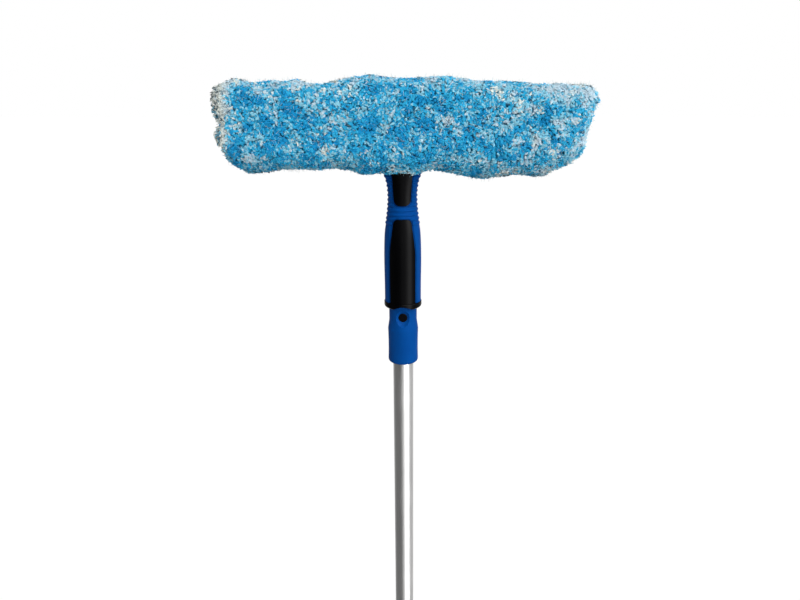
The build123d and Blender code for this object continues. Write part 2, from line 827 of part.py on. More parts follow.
def sleeve_section(along_share):
    """The sleeve's rounded cross-section at a share of its half length."""
    foot_share, head_share, depth_share = (
        curve_value(sleeve_end_station_shares, along_share, column) for column in (1, 2, 3)
    )
    section_foot = sleeve_foot + foot_share * sleeve_height
    section_height = sleeve_height * (1 - foot_share - head_share)
    section_depth = sleeve_depth * depth_share
    with BuildSketch(Plane.YZ.offset(along_share * sleeve_length / 2)) as section:
        with Locations((0, section_foot + section_height / 2)):
            RectangleRounded(section_depth, section_height, section_depth * sleeve_round_share)
    return section.sketch


with BuildPart() as scrub_sleeve:
    along_shares = [math.sin(math.pi / 2 * index / sleeve_steps) for index in range(sleeve_steps + 1)]
    loft([sleeve_section(along_share) for along_share in along_shares], ruled=True)
    mirror(about=Plane.YZ)
    with Locations((0, 0, bar_middle)):
        Box(
            bar_length + 2 * sliding_gap,
            bar_thickness + 2 * sliding_gap,
            bar_height + 2 * sliding_gap,
            mode=Mode.SUBTRACT,
        )
    with BuildSketch(Plane.XY.offset(sleeve_foot - overrun)):
        SlotOverall(sleeve_slit_width, sleeve_slit_depth)
    extrude(amount=sleeve_below_bar + overrun, mode=Mode.SUBTRACT)
    with BuildSketch(Plane.XY.offset(bar_foot - sliding_gap - tape_pocket_depth)):
        with Locations((tape_middle, 0)):
            Rectangle(tape_length + 2 * seat_gap, tape_width + 2 * seat_gap)
    extrude(amount=tape_pocket_depth, mode=Mode.SUBTRACT)
save(scrub_sleeve.part, "scrub_sleeve")


# Hook tape above, loop tape below
tape_foot = bar_foot - sliding_gap - tape_pocket_depth + seat_gap
for tape_index, tape_name in enumerate(("closure_loop_tape", "closure_hook_tape")):
    with BuildPart() as closure_tape:
        with BuildSketch(Plane.XY.offset(tape_foot + tape_index * (tape_thickness + seat_gap))):
            with Locations((tape_middle, 0)):
                RectangleRounded(tape_length, tape_width, tape_width * tape_corner_share)
        extrude(amount=tape_thickness)
    save(closure_tape.part, tape_name)
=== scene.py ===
import math

import bpy
import numpy as np
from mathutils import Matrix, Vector


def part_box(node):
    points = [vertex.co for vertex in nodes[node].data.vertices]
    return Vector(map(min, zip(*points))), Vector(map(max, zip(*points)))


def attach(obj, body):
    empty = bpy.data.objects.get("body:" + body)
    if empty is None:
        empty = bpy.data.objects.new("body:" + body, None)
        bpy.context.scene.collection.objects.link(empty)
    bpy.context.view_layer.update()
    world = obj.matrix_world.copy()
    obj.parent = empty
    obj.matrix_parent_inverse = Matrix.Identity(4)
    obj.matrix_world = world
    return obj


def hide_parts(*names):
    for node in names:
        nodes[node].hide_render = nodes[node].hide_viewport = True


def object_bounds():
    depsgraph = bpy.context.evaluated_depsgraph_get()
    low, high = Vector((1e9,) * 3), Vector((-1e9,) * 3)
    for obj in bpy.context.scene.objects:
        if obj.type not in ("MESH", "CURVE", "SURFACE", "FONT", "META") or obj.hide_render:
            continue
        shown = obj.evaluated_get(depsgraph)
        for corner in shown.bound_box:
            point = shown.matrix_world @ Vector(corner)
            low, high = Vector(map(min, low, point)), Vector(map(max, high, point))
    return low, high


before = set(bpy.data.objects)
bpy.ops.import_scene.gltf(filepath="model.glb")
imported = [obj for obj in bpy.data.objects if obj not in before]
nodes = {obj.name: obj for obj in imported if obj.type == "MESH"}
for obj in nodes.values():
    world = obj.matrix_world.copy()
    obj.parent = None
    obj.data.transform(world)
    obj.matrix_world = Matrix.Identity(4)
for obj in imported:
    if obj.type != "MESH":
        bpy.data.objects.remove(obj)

# Looks for the window scrubber. Lengths are metres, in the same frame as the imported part: the pole
# stands along +Z and the front faces -Y.

cad_low, cad_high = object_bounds()

# Camera
camera_place = (0.0104, -0.6081, 0.8415)
camera_tilt = math.radians(72)
camera_lens = 27.0
camera_shift = -0.0159

# Studio
floor_gap = 0.0005
floor_reach = 60.0
floor_share = 0.12
floor_glow = 1.08
floor_albedo = 0.5
room_level = 0.27
mirror_level = 3.45
key_direction = (0.700, -0.622, 0.85)
key_strength = 3.95
key_spread = math.radians(80)
fill_direction = (-0.30, -0.95, 0.10)
fill_strength = 0.15
fill_spread = math.radians(60)

# Brightness of the studio round the object as polished surfaces see it. Each row is an azimuth in
# degrees, from straight in front and growing towards the right, and a brightness.
studio_ring = [
    (-180, 0.27),
    (-150, 0.17),
    (-125, 0.080),
    (-100, 0.037),
    (-70, 0.046),
    (-35, 0.028),
    (-17, 0.060),
    (0, 0.19),
    (12, 0.21),
    (24, 0.43),
    (36, 0.93),
    (48, 0.97),
    (60, 0.29),
    (72, 0.10),
    (88, 0.145),
    (112, 0.107),
    (140, 0.17),
    (180, 0.27),
]

# Material looks: noise scales are repeats in a metre, and reliefs are metres
plain_detail = 2.0
usual_detail = 3.0
rich_detail = 4.0
noise_low = 0.3
noise_high = 0.7
drift_scale = 45.0
polish_scale = 260.0
polish_spread = 0.05
metal_relief = 0.00002
tube_line_stretch = 0.012
tube_line_scale = 1500.0
tube_cloud_scale = 30.0
tube_tints = (0.86, 0.86, 0.85), (0.94, 0.94, 0.93)
tube_roughness = (0.34, 0.44)
tube_sum_range = (0.7, 1.3)
steel_smear_stretch = 0.3
steel_smear_scale = 700.0
steel_tints = (0.52, 0.52, 0.53), (0.68, 0.68, 0.68)
steel_roughness = (0.22, 0.34)
tape_row_scale = 260.0
tape_row_wander = 1.5
tape_tints = (0.010, 0.010, 0.012), (0.045, 0.045, 0.052)
tape_roughness = 0.9
tape_relief = 0.0003
backing_patch_scale = 110.0
backing_tints = (0.010, 0.29, 0.60), (0.10, 0.50, 0.76)
backing_roughness = 0.95
backing_grain_scale = 600.0
backing_relief = 0.0008
yarn_streak_scale = 1600.0
yarn_streak_shares = (0.78, 1.16)
yarn_roughness = 0.88
yarn_gloss = 0.12
yarn_sheen = 0.12
yarn_sheen_roughness = 0.5
yarn_fuzz_scale = 2600.0
yarn_relief = 0.00035

# Moulded plastic and rubber: the two colours it drifts between, roughness, gloss, and the scale and
# relief of its grain
moulded_looks = {
    "blue_plastic": ((0.0006, 0.055, 0.255), (0.0010, 0.064, 0.285), 0.45, 0.03, 2200.0, 0.00003),
    "black_rubber": ((0.0004, 0.0004, 0.0008), (0.0008, 0.0008, 0.0012), 0.21, 0.085, 2600.0, 0.00001),
    "black_plastic": ((0.0008, 0.0008, 0.0016), (0.0014, 0.0014, 0.002), 0.30, 0.07, 1800.0, 0.00002),
    "grip_rubber": ((0.013, 0.013, 0.014), (0.020, 0.020, 0.021), 0.62, 0.25, 1500.0, 0.0001),
    "white_plastic": ((0.72, 0.72, 0.69), (0.80, 0.80, 0.77), 0.42, 0.4, 1800.0, 0.00003),
    "bar_plastic": ((0.010, 0.060, 0.22), (0.014, 0.075, 0.26), 0.45, 0.35, 1500.0, 0.00006),
}

# Pile sleeve
pile_seed = 41
root_depth = 0.0056
core_inset = 0.008
fan_inset = 0.012
fan_surface_share = 0.7
outside_share = 0.25
soft_share = 0.8
soft_height_share = 0.15
lattice_side = 64
map_margin_share = 0.1
map_cell_aspect = 2
tiny = 1e-12

# Tufts
tuft_tries = 170000
tuft_spacing = 0.00140
tuft_radius = 0.00120
tuft_flatness = 0.78
tuft_rings = 6
tuft_sides = 4
tuft_width_shares = (0.75, 1.3)
tuft_profile_start_share = 0.18
tuft_profile_span_share = 0.74
tuft_profile_power = 0.6
tuft_tip_share = 0.12
tuft_drop = 0.0006
tuft_drop_spread = 0.0005
tuft_reaches = (0.0022, 0.0060)
tuft_reach_power = 1.7
tuft_upright_share = 0.7
tuft_curls = (0.0005, 0.0013)
tuft_curl_turns = (0.7, 1.5)
tuft_curl_rise_share = 0.5
lean_guide = (0.31, 0.87, 0.39)
swirl_turns = 2
swirl_scatter = 1.3
lump_height = 0.0030
ragged_height = 0.0075
ragged_level_share = 0.45

# Loose fibres
fibre_count = 11000
fibre_spacing = 0.0004
fibre_root_depth = 0.0015
fibre_radius = 0.00013
fibre_rings = 4
fibre_sides = 3
fibre_lengths = (0.0022, 0.0048)
fibre_bend = 0.0018
fibre_outward_share = 0.55
fibre_drift_share = 0.8
fibre_width_shares = (0.7, 1.2)
fibre_tip_share = 0.6
fibre_tints = [(0.50, 0.68, 0.70), (0.70, 0.78, 0.80), (0.25, 0.58, 0.70)]

# Knitted ground
backing_depth = 0.0046
backing_voxel = 0.003
backing_lump_height = 0.0025

# Smooth random patterns over the pile: size of a cell, and seed
swirl_cells = (0.016, 7)
lump_cells = (0.010, 8)
ragged_cells = (0.0065, 10)
cream_cells = (0.012, 11)
backing_cells = (0.012, 9)

# Slopes from 0 to 1: where each starts, and over how much it climbs
ragged_end_slope = (0.93, 0.05)
ragged_cell_slope = (0.45, 0.2)
cream_end_slope = (0.86, 0.06)
cream_cell_slope = (0.62, 0.15)
backing_slope = (0.1, 0.4)

# Mix of yarns: strength, size of a cell and seed of each pattern, and the strength of pure chance
mix_patterns = [(1.2, 0.0090, 5), (0.7, 0.0040, 6), (0.4, 0.0240, 12)]
mix_chance = 0.65

# Lighter yarn at the right (1) and left (-1) end: strength, from which share of the half length, over
# which share, and how much earlier higher up. Then above (1) and below (-1), in shares of a height;
# the paler yarn below is painted light that lifts the shaded underside.
light_ends = [(1, 0.5, 0.77, 0.15, 0.08), (-1, 0.9, 0.84, 0.11, 0.05)]
pale_top_and_painted_light_below = [(1, 0.30, 0.55, 0.4), (-1, 0.15, 0.6, 0.4)]
light_height = 0.04

# The sleeve's upper and lower outline: shares of its half length, and how far the pile stands out there
upper_edge = [
    (-1.00, -0.0030),
    (-0.90, 0.0010),
    (-0.84, 0.0028),
    (-0.78, -0.0006),
    (-0.67, 0.0000),
    (-0.60, -0.0012),
    (-0.54, 0.0006),
    (-0.48, -0.0028),
    (-0.41, -0.0040),
    (-0.34, -0.0012),
    (-0.23, 0.0022),
    (-0.16, 0.0038),
    (-0.10, 0.0016),
    (0.02, 0.0012),
    (0.14, 0.0024),
    (0.24, 0.0026),
    (0.31, 0.0008),
    (0.37, -0.0022),
    (0.50, -0.0006),
    (0.60, -0.0022),
    (0.70, -0.0032),
    (0.86, -0.0016),
    (1.00, 0.0004),
]
lower_edge = [
    (-1.00, 0.0000),
    (-0.88, 0.0020),
    (-0.80, 0.0038),
    (-0.73, -0.0004),
    (-0.64, -0.0030),
    (-0.44, -0.0030),
    (-0.34, -0.0040),
    (-0.24, -0.0004),
    (-0.16, 0.0040),
    (-0.08, 0.0034),
    (0.08, 0.0038),
    (0.14, 0.0002),
    (0.19, -0.0016),
    (0.27, 0.0008),
    (0.37, 0.0050),
    (0.44, 0.0062),
    (0.53, 0.0038),
    (0.60, 0.0014),
    (0.67, 0.0038),
    (0.75, 0.0036),
    (0.84, -0.0020),
    (1.00, 0.0000),
]

# How far the sleeve's ends draw in at each height above the T-bar's middle, left and right
end_heights = [-0.042, -0.032, -0.022, -0.012, -0.002, 0.008, 0.018, 0.027, 0.034, 0.042, 0.050]
left_draws = [0.000, 0.001, 0.005, 0.007, 0.011, 0.014, 0.010, 0.009, 0.008, 0.001, -0.007]
right_draws = [-0.004, -0.002, 0.002, 0.005, 0.007, 0.006, 0.003, 0.000, 0.000, -0.001, -0.002]
end_from_share = 0.82

# Yarn colours, linear, with each one's share of the pile
yarns = {
    "white": ((0.60, 0.77, 0.85), 0.20),
    "pale": ((0.29, 0.68, 0.84), 0.28),
    "blue": ((0.030, 0.445, 0.76), 0.33),
    "deep": ((0.005, 0.285, 0.62), 0.19),
}
cream = (0.90, 0.93, 0.82)
# Painted shade: each tuft's colour fades to this deep blue towards its root, so the gaps between tufts
# look shaded
root_shade_blue = (0.010, 0.30, 0.62)
root_shade_power = 1.5
yarn_spread_share = 0.16


# Materials

def start_material(name):
    """A new material with one Principled shader, given with its node tree."""
    material = bpy.data.materials.new(name)
    material.use_nodes = True
    tree = material.node_tree
    tree.nodes.clear()
    output = tree.nodes.new("ShaderNodeOutputMaterial")
    shader = tree.nodes.new("ShaderNodeBsdfPrincipled")
    tree.links.new(shader.outputs["BSDF"], output.inputs["Surface"])
    return material, tree, shader


def place_nodes(tree, stretch=(1, 1, 1)):
    """Object coordinates, stretched along the axes."""
    place = tree.nodes.new("ShaderNodeTexCoord")
    mapping = tree.nodes.new("ShaderNodeMapping")
    mapping.inputs["Scale"].default_value = stretch
    tree.links.new(place.outputs["Object"], mapping.inputs["Vector"])
    return mapping.outputs["Vector"]


def noise(tree, place, scale, detail=usual_detail):
    """A noise texture's value at a place."""
    texture = tree.nodes.new("ShaderNodeTexNoise")
    texture.inputs["Scale"].default_value = scale
    texture.inputs["Detail"].default_value = detail
    tree.links.new(place, texture.inputs["Vector"])
    return texture.outputs["Fac"]


def spread(tree, value, low, high, source_low=noise_low, source_high=noise_high):
    """A value moved from one range into another."""
    ranged = tree.nodes.new("ShaderNodeMapRange")
    ranged.inputs["From Min"].default_value = source_low
    ranged.inputs["From Max"].default_value = source_high
    ranged.inputs["To Min"].default_value = low
    ranged.inputs["To Max"].default_value = high
    tree.links.new(value, ranged.inputs["Value"])
    return ranged.outputs["Result"]


def blend_colours(tree, value, first, second):
    """A colour between two, by a value."""
    mix = tree.nodes.new("ShaderNodeMix")
    mix.data_type = "RGBA"
    mix.inputs["A"].default_value = (*first, 1)
    mix.inputs["B"].default_value = (*second, 1)
    tree.links.new(value, mix.inputs["Factor"])
    return mix.outputs["Result"]


def add_bump(tree, shader, height, distance):
    """Small relief on a shader from a height."""
    bump = tree.nodes.new("ShaderNodeBump")
    bump.inputs["Distance"].default_value = distance
    tree.links.new(height, bump.inputs["Height"])
    tree.links.new(bump.outputs["Normal"], shader.inputs["Normal"])


def moulded(name, colour, second_colour, roughness, gloss, grain_scale, grain_relief):
    """Moulded plastic or rubber: slow colour drift, uneven polish and a fine moulded grain."""
    material, tree, shader = start_material(name)
    place = place_nodes(tree)
    drift = spread(tree, noise(tree, place, drift_scale), 0.0, 1.0)
    tree.links.new(blend_colours(tree, drift, colour, second_colour), shader.inputs["Base Color"])
    polish = noise(tree, place, polish_scale, rich_detail)
    uneven = spread(tree, polish, roughness - polish_spread, roughness + polish_spread)
    tree.links.new(uneven, shader.inputs["Roughness"])
    shader.inputs["Specular IOR Level"].default_value = gloss
    add_bump(tree, shader, noise(tree, place, grain_scale, plain_detail), grain_relief)
    return material


def drawn_aluminium():
    """Satin anodised tube with fine drawing lines along its length."""
    material, tree, shader = start_material("drawn_aluminium")
    lines = noise(tree, place_nodes(tree, (1, 1, tube_line_stretch)), tube_line_scale, plain_detail)
    cloud = noise(tree, place_nodes(tree), tube_cloud_scale)
    tint = blend_colours(tree, spread(tree, lines, 0.0, 1.0), *tube_tints)
    tree.links.new(tint, shader.inputs["Base Color"])
    both = tree.nodes.new("ShaderNodeMath")
    both.operation = "ADD"
    tree.links.new(lines, both.inputs[0])
    tree.links.new(cloud, both.inputs[1])
    uneven = spread(tree, both.outputs["Value"], *tube_roughness, *tube_sum_range)
    tree.links.new(uneven, shader.inputs["Roughness"])
    shader.inputs["Metallic"].default_value = 1.0
    add_bump(tree, shader, lines, metal_relief)
    return material


def plated_steel():
    """Bright plated steel with faint smears."""
    material, tree, shader = start_material("plated_steel")
    smear = noise(tree, place_nodes(tree, (1, 1, steel_smear_stretch)), steel_smear_scale)
    tree.links.new(blend_colours(tree, smear, *steel_tints), shader.inputs["Base Color"])
    tree.links.new(spread(tree, smear, *steel_roughness), shader.inputs["Roughness"])
    shader.inputs["Metallic"].default_value = 1.0
    add_bump(tree, shader, smear, metal_relief)
    return material


def woven_tape():
    """Black woven tape with crossing rows of yarn."""
    material, tree, shader = start_material("woven_tape")
    place = place_nodes(tree)
    rows = []
    for direction in ("X", "Y"):
        wave = tree.nodes.new("ShaderNodeTexWave")
        wave.bands_direction = direction
        wave.inputs["Scale"].default_value = tape_row_scale
        wave.inputs["Distortion"].default_value = tape_row_wander
        tree.links.new(place, wave.inputs["Vector"])
        rows.append(wave.outputs["Fac"])
    weave = tree.nodes.new("ShaderNodeMath")
    weave.operation = "MULTIPLY"
    tree.links.new(rows[0], weave.inputs[0])
    tree.links.new(rows[1], weave.inputs[1])
    height = weave.outputs["Value"]
    tree.links.new(blend_colours(tree, height, *tape_tints), shader.inputs["Base Color"])
    shader.inputs["Roughness"].default_value = tape_roughness
    add_bump(tree, shader, height, tape_relief)
    return material


def backing_cloth():
    """The knitted ground that the pile stands on, hardly seen between the tufts."""
    material, tree, shader = start_material("backing_cloth")
    place = place_nodes(tree)
    patches = spread(tree, noise(tree, place, backing_patch_scale), 0.0, 1.0)
    tree.links.new(blend_colours(tree, patches, *backing_tints), shader.inputs["Base Color"])
    shader.inputs["Roughness"].default_value = backing_roughness
    add_bump(tree, shader, noise(tree, place, backing_grain_scale, rich_detail), backing_relief)
    return material


def pile_yarn():
    """Microfibre yarn: each tuft's own colour, streaked and roughened by its fibres."""
    material, tree, shader = start_material("pile_yarn")
    place = place_nodes(tree)
    yarn = tree.nodes.new("ShaderNodeAttribute")
    yarn.attribute_name = "yarn_colour"
    streak = spread(tree, noise(tree, place, yarn_streak_scale), *yarn_streak_shares)
    shade = tree.nodes.new("ShaderNodeVectorMath")
    shade.operation = "SCALE"
    tree.links.new(yarn.outputs["Color"], shade.inputs["Vector"])
    tree.links.new(streak, shade.inputs["Scale"])
    tree.links.new(shade.outputs["Vector"], shader.inputs["Base Color"])
    shader.inputs["Roughness"].default_value = yarn_roughness
    shader.inputs["Specular IOR Level"].default_value = yarn_gloss
    shader.inputs["Sheen Weight"].default_value = yarn_sheen
    shader.inputs["Sheen Roughness"].default_value = yarn_sheen_roughness
    add_bump(tree, shader, noise(tree, place, yarn_fuzz_scale, plain_detail), yarn_relief)
    return material


blue_plastic, black_rubber, black_plastic, grip_rubber, white_plastic, bar_plastic = (
    moulded(name, *look) for name, look in moulded_looks.items()
)
aluminium = drawn_aluminium()
steel = plated_steel()
tape = woven_tape()
backing = backing_cloth()
yarn_material = pile_yarn()

node_materials = {
    "lower_tube": aluminium,
    "upper_tube": aluminium,
    "hand_grip": grip_rubber,
    "end_cap": black_plastic,
    "thread_bush": black_plastic,
    "lock_collet": white_plastic,
    "lock_nut": blue_plastic,
    "guide_bush": white_plastic,
    "pole_connector": blue_plastic,
    "connector_rivet": steel,
    "catch_spring": steel,
    "release_button": black_plastic,
    "handle_body": blue_plastic,
    "front_grip_pad": black_rubber,
    "rear_grip_pad": black_rubber,
    "front_neck_pad": black_rubber,
    "rear_neck_pad": black_rubber,
    "lip_ring": black_rubber,
    "t_bar": bar_plastic,
    "left_bar_cap": bar_plastic,
    "right_bar_cap": bar_plastic,
    "neck_screws": steel,
    "closure_hook_tape": tape,
    "closure_loop_tape": tape,
    "scrub_sleeve": backing,
}
for name, material in node_materials.items():
    mesh = nodes[name].data
    mesh.materials.clear()
    mesh.materials.append(material)


# Pile sleeve

half_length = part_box("scrub_sleeve")[1].x
bar_low, bar_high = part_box("t_bar")
bar_middle = (bar_low.z + bar_high.z) / 2
generator = np.random.default_rng(pile_seed)


def unit(vectors):
    """Vectors scaled to length 1."""
    return vectors / np.maximum(np.linalg.norm(vectors, axis=-1, keepdims=True), tiny)


def climb(value, start, reach):
    """How far a value has climbed from a start over a reach, from 0 to 1."""
    return np.clip((value - start) / reach, 0, 1)


def smooth_step(share):
    """A share from 0 to 1 that starts and ends softly."""
    return share * share * (3 - 2 * share)


def lattice_noise(points, cell, seed):
    """Smooth random values from 0 to 1 on a lattice of cells."""
    values = np.random.default_rng(seed).random((lattice_side, lattice_side, lattice_side))
    scaled = points / cell
    base = np.floor(scaled).astype(int)
    part = smooth_step(scaled - base)
    total = np.zeros(len(points))
    for corner in np.ndindex(2, 2, 2):
        weight = np.prod(np.where(corner, part, 1 - part), axis=1)
        index = (base + corner) % lattice_side
        total += weight * values[index[:, 0], index[:, 1], index[:, 2]]
    return total


def from_bar(points, inset):
    """Directions to points from a flat core inside the T-bar, drawn in by an inset above and below."""
    core = points.copy()
    core[:, 0] = np.clip(core[:, 0], bar_low.x, bar_high.x)
    core[:, 1] = 0
    core[:, 2] = np.clip(core[:, 2], bar_low.z + inset, bar_high.z - inset)
    return unit(points - core)


def outwardness(points, normals):
    """How far a surface point faces away from the T-bar, from -1 to 1."""
    return np.sum(from_bar(points, core_inset) * normals, axis=1)


def outline_shift(points, normals):
    """How far the pile's upper and lower edge stand out or draw in at each point, along Z."""
    share = points[:, 0] / half_length
    upper = np.interp(share, *zip(*upper_edge)) * np.clip(normals[:, 2], 0, 1)
    lower = np.interp(share, *zip(*lower_edge)) * np.clip(-normals[:, 2], 0, 1)
    return upper - lower


def sleeve_surface():
    """Corners, area and normal of each triangle on the outside of the CAD sleeve."""
    mesh = nodes["scrub_sleeve"].data
    mesh.calc_loop_triangles()
    places = np.empty(len(mesh.vertices) * 3)
    mesh.vertices.foreach_get("co", places)
    corners = np.empty(len(mesh.loop_triangles) * 3, int)
    mesh.loop_triangles.foreach_get("vertices", corners)
    triangles = places.reshape(-1, 3)[corners.reshape(-1, 3)]
    across = np.cross(triangles[:, 1] - triangles[:, 0], triangles[:, 2] - triangles[:, 0])
    area = np.linalg.norm(across, axis=1) / 2
    normals = unit(across)
    outside = (outwardness(triangles.mean(axis=1), normals) > outside_share) & (area > tiny)
    return triangles[outside], area[outside], normals[outside]


def scatter(count, least_gap):
    """Random points on the sleeve's outside, none nearer to another than the least gap."""
    triangles, area, normals = sleeve_surface()
    chosen = generator.choice(len(area), count, p=area / area.sum())
    first, second = generator.random((2, count))
    folded = first + second > 1
    first[folded], second[folded] = 1 - first[folded], 1 - second[folded]
    corners = triangles[chosen]
    points = corners[:, 0] + first[:, None] * (corners[:, 1] - corners[:, 0])
    points += second[:, None] * (corners[:, 2] - corners[:, 0])
    cells = np.floor(points / least_gap).astype(int)
    taken = {}
    kept = []
    for index, (cell, point) in enumerate(zip(map(tuple, cells), points)):
        near = (
            taken.get((cell[0] + i, cell[1] + j, cell[2] + k))
            for i in (-1, 0, 1) for j in (-1, 0, 1) for k in (-1, 0, 1)
        )
        if all(other is None or np.sum((points[other] - point) ** 2) > least_gap**2 for other in near):
            taken[cell] = index
            kept.append(index)
    return points[kept], normals[chosen[kept]]


def smooth_normals(points, normals):
    """Rounded outward directions, so that the pile fans out evenly over the sleeve's edges."""
    return unit(from_bar(points, fan_inset) + fan_surface_share * normals)


def strand_mesh(name, lines, radii, colours, outward, sides, material):
    """One mesh of many tapered strands, each with its own colour and its own cell of the bake's map."""
    count, rings, _ = lines.shape
    order = np.argsort(colours[:, -1].sum(axis=1))
    lines, radii, colours, outward = lines[order], radii[order], colours[order], outward[order]
    ahead = unit(np.gradient(lines, axis=1))
    across = unit(np.cross(ahead[:, 0], unit(generator.normal(size=(count, 3)))))
    shading = unit(outward * (1, 1, soft_height_share))
    angles = np.arange(sides) / sides * math.tau
    cosines = np.cos(angles)[None, :, None]
    sines = np.sin(angles)[None, :, None]
    rims = np.empty((count, rings, sides, 3))
    facing = np.empty((count, rings, sides, 3))
    for ring in range(rings):
        across = unit(across - np.sum(across * ahead[:, ring], axis=1, keepdims=True) * ahead[:, ring])
        other = np.cross(ahead[:, ring], across)
        around = cosines * across[:, None] + sines * other[:, None]
        rising = np.sum(around * outward[:, None], axis=2, keepdims=True)
        flat = around - tuft_flatness * rising * outward[:, None]
        rims[:, ring] = lines[:, ring, None] + radii[:, ring, None, None] * flat
        facing[:, ring] = unit((1 - soft_share) * around + soft_share * shading[:, None])
    vertices = rims.reshape(-1, 3)
    ring_index, side_index = np.meshgrid(np.arange(rings - 1), np.arange(sides), indexing="ij")
    next_side = (side_index + 1) % sides
    quads = np.stack(
        [
            ring_index * sides + side_index,
            ring_index * sides + next_side,
            (ring_index + 1) * sides + next_side,
            (ring_index + 1) * sides + side_index,
        ],
        axis=-1,
    ).reshape(-1, 4)
    faces = (np.arange(count)[:, None, None] * rings * sides + quads[None]).reshape(-1, 4)
    mesh = bpy.data.meshes.new(name)
    mesh.from_pydata(vertices.tolist(), [], faces.tolist())

    columns = math.ceil(math.sqrt(count / map_cell_aspect))
    rows = math.ceil(count / columns)
    cell = np.stack([np.arange(count) % columns, np.arange(count) // columns], axis=1)
    corner_sides = np.stack([side_index, side_index + 1, side_index + 1, side_index], axis=-1)
    corner_rings = np.stack([ring_index, ring_index, ring_index + 1, ring_index + 1], axis=-1)
    span_share = 1 - 2 * map_margin_share
    across_cell = map_margin_share + span_share * corner_sides.reshape(-1, 4) / sides
    along_cell = map_margin_share + span_share * corner_rings.reshape(-1, 4) / (rings - 1)
    map_across = (cell[:, 0, None, None] + across_cell[None]) / columns
    map_along = (cell[:, 1, None, None] + along_cell[None]) / rows
    layer = mesh.uv_layers.new(name="OFBake")
    layer.data.foreach_set("uv", np.stack([map_across, map_along], axis=-1).astype(np.float32).ravel())

    shades = np.ones((count, rings, sides, 4), np.float32)
    shades[..., :3] = colours[:, :, None]
    attribute = mesh.color_attributes.new("yarn_colour", "FLOAT_COLOR", "POINT")
    attribute.data.foreach_set("color", shades.ravel())
    mesh.materials.append(material)
    mesh.shade_smooth()
    mesh.normals_split_custom_set_from_vertices(facing.reshape(-1, 3))
    piece = bpy.data.objects.new(name, mesh)
    bpy.context.scene.collection.objects.link(piece)
    return piece


def yarn_kinds(points):
    """Which yarn each tuft is of: patches, pure chance, lighter ends, paler yarn along the top, and
    paler yarn along the bottom as painted light on the shaded underside.
    """
    value = sum(strength * lattice_noise(points, cell, seed) for strength, cell, seed in mix_patterns)
    value += generator.uniform(0, mix_chance, len(points))
    height = (points[:, 2] - bar_middle) / light_height
    for side, strength, start, reach, slant in light_ends:
        value += strength * climb(side * points[:, 0] / half_length + slant * height, start, reach)
    # Paler yarn along the top, and along the bottom paler yarn as painted light on the shaded underside
    for side, strength, start, reach in pale_top_and_painted_light_below:
        value += strength * climb(side * height, start, reach)
    rank = np.argsort(np.argsort(-value)) / len(value)
    limits = np.cumsum([share for colour, share in yarns.values()])
    return np.minimum(np.searchsorted(limits, rank), len(yarns) - 1)


def creaminess(points):
    """How cream the white tufts are: a few patches in front, and the sleeve's left end."""
    patches = climb(lattice_noise(points, *cream_cells), *cream_cell_slope)
    left_end = climb(-points[:, 0] / half_length, *cream_end_slope)
    return np.maximum(patches, left_end)


def shifted_roots(points, normals, outward, depth):
    """Where strands start under the sleeve's surface, with the outline's shape given to them."""
    roots = points - outward * depth
    share = climb(np.abs(points[:, 0]) / half_length, end_from_share, 1 - end_from_share)
    height = points[:, 2] - bar_middle
    draws = np.where(
        points[:, 0] < 0,
        np.interp(height, end_heights, left_draws),
        np.interp(height, end_heights, right_draws),
    )
    roots[:, 0] -= np.sign(points[:, 0]) * draws * smooth_step(share)
    roots[:, 2] += outline_shift(points, normals)
    return roots


def tuft_lines(points, normals, outward):
    """Centre lines of curly tufts that rise from the backing and lie over at the sleeve's surface."""
    count = len(points)
    share = np.linspace(0, 1, tuft_rings)
    swirl = lattice_noise(points, *swirl_cells) * math.tau * swirl_turns
    swirl += generator.normal(0, swirl_scatter, count)
    lean = unit(np.cross(outward, lean_guide))
    turned = np.cross(outward, lean)
    lean = np.cos(swirl)[:, None] * lean + np.sin(swirl)[:, None] * turned
    turned = np.cross(outward, lean)
    at_left = climb(-points[:, 0] / half_length, *ragged_end_slope)
    ragged = climb(lattice_noise(points, *ragged_cells), *ragged_cell_slope) - ragged_level_share
    lumps = (lattice_noise(points, *lump_cells) - 0.5) * lump_height + ragged * ragged_height * at_left
    uneven = generator.uniform(-tuft_drop_spread, tuft_drop_spread, count)
    rise = root_depth - tuft_drop + lumps + uneven
    reach = generator.uniform(*tuft_reaches, count)
    curl = generator.uniform(*tuft_curls, count)
    phase = generator.uniform(0, math.tau, count)
    turns = generator.uniform(*tuft_curl_turns, count)
    roots = shifted_roots(points, normals, outward, root_depth)
    upward = np.sin(np.minimum(share / tuft_upright_share, 1) * math.pi / 2)
    wave = phase[:, None] + turns[:, None] * share[None] * math.tau
    along_turned = curl[:, None] * share * np.sin(wave)
    along_out = rise[:, None] * upward[None] + tuft_curl_rise_share * along_turned
    along_lean = reach[:, None] * share**tuft_reach_power + curl[:, None] * share * np.cos(wave)
    return (
        roots[:, None]
        + along_out[..., None] * outward[:, None]
        + along_lean[..., None] * lean[:, None]
        + along_turned[..., None] * turned[:, None]
    )


